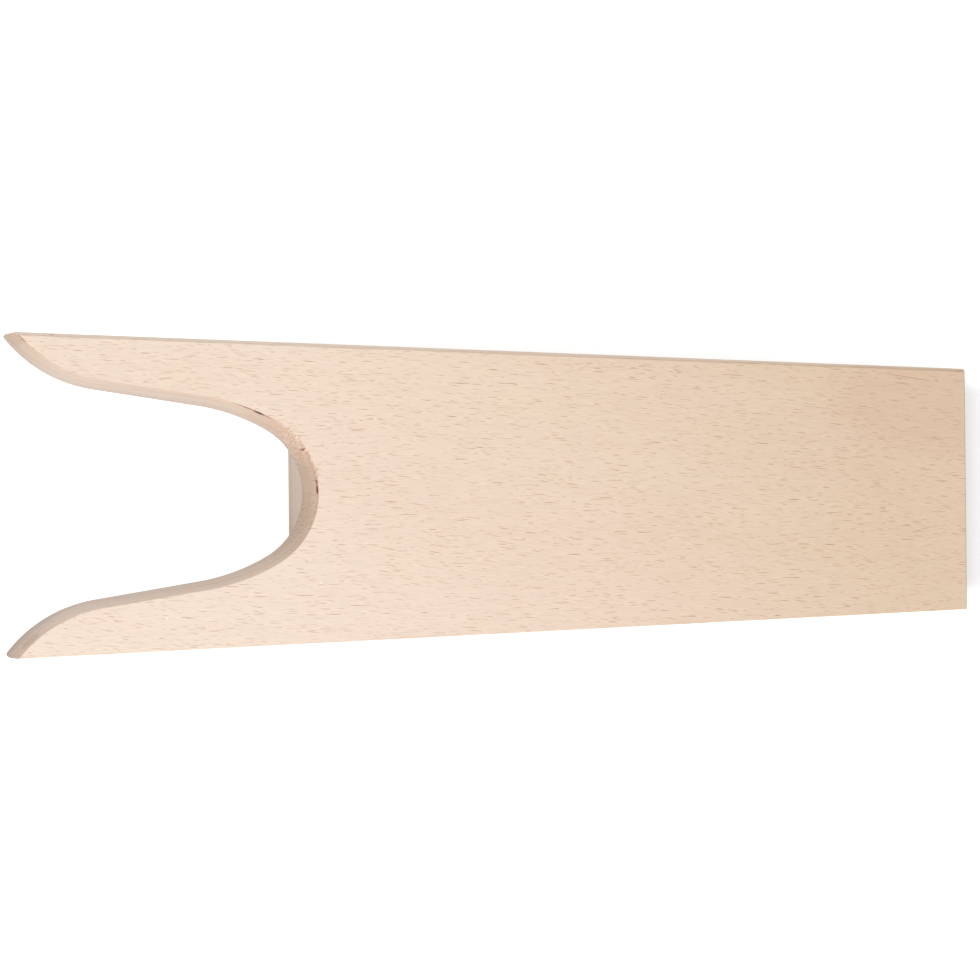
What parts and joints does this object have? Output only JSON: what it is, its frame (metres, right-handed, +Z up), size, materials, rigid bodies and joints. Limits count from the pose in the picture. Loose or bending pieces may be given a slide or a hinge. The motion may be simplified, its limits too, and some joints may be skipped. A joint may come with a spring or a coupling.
{
  "type": "boot jack",
  "caption": "Tapered beech board with a heel notch, held at an angle on a cross riser, that grips a boot's heel while the foot is pulled out.",
  "frame": {"origin": "on the floor, under the middle of the whole part", "axes": "+X runs along the length from the notched wide end to the narrow rear end, +Y across it, +Z up from the floor"},
  "size_m": [0.3428, 0.1106, 0.0735],
  "materials": {
    "beech_board": "planed and sanded, unfinished",
    "beech_riser": "planed, unfinished",
    "zinc_steel": "zinc plated, bright"
  },
  "bodies": {
    "root": {"board": "beech_board", "riser_block": "beech_riser", "riser_screw_left": "zinc_steel", "riser_screw_right": "zinc_steel"}
  },
  "joints": []
}
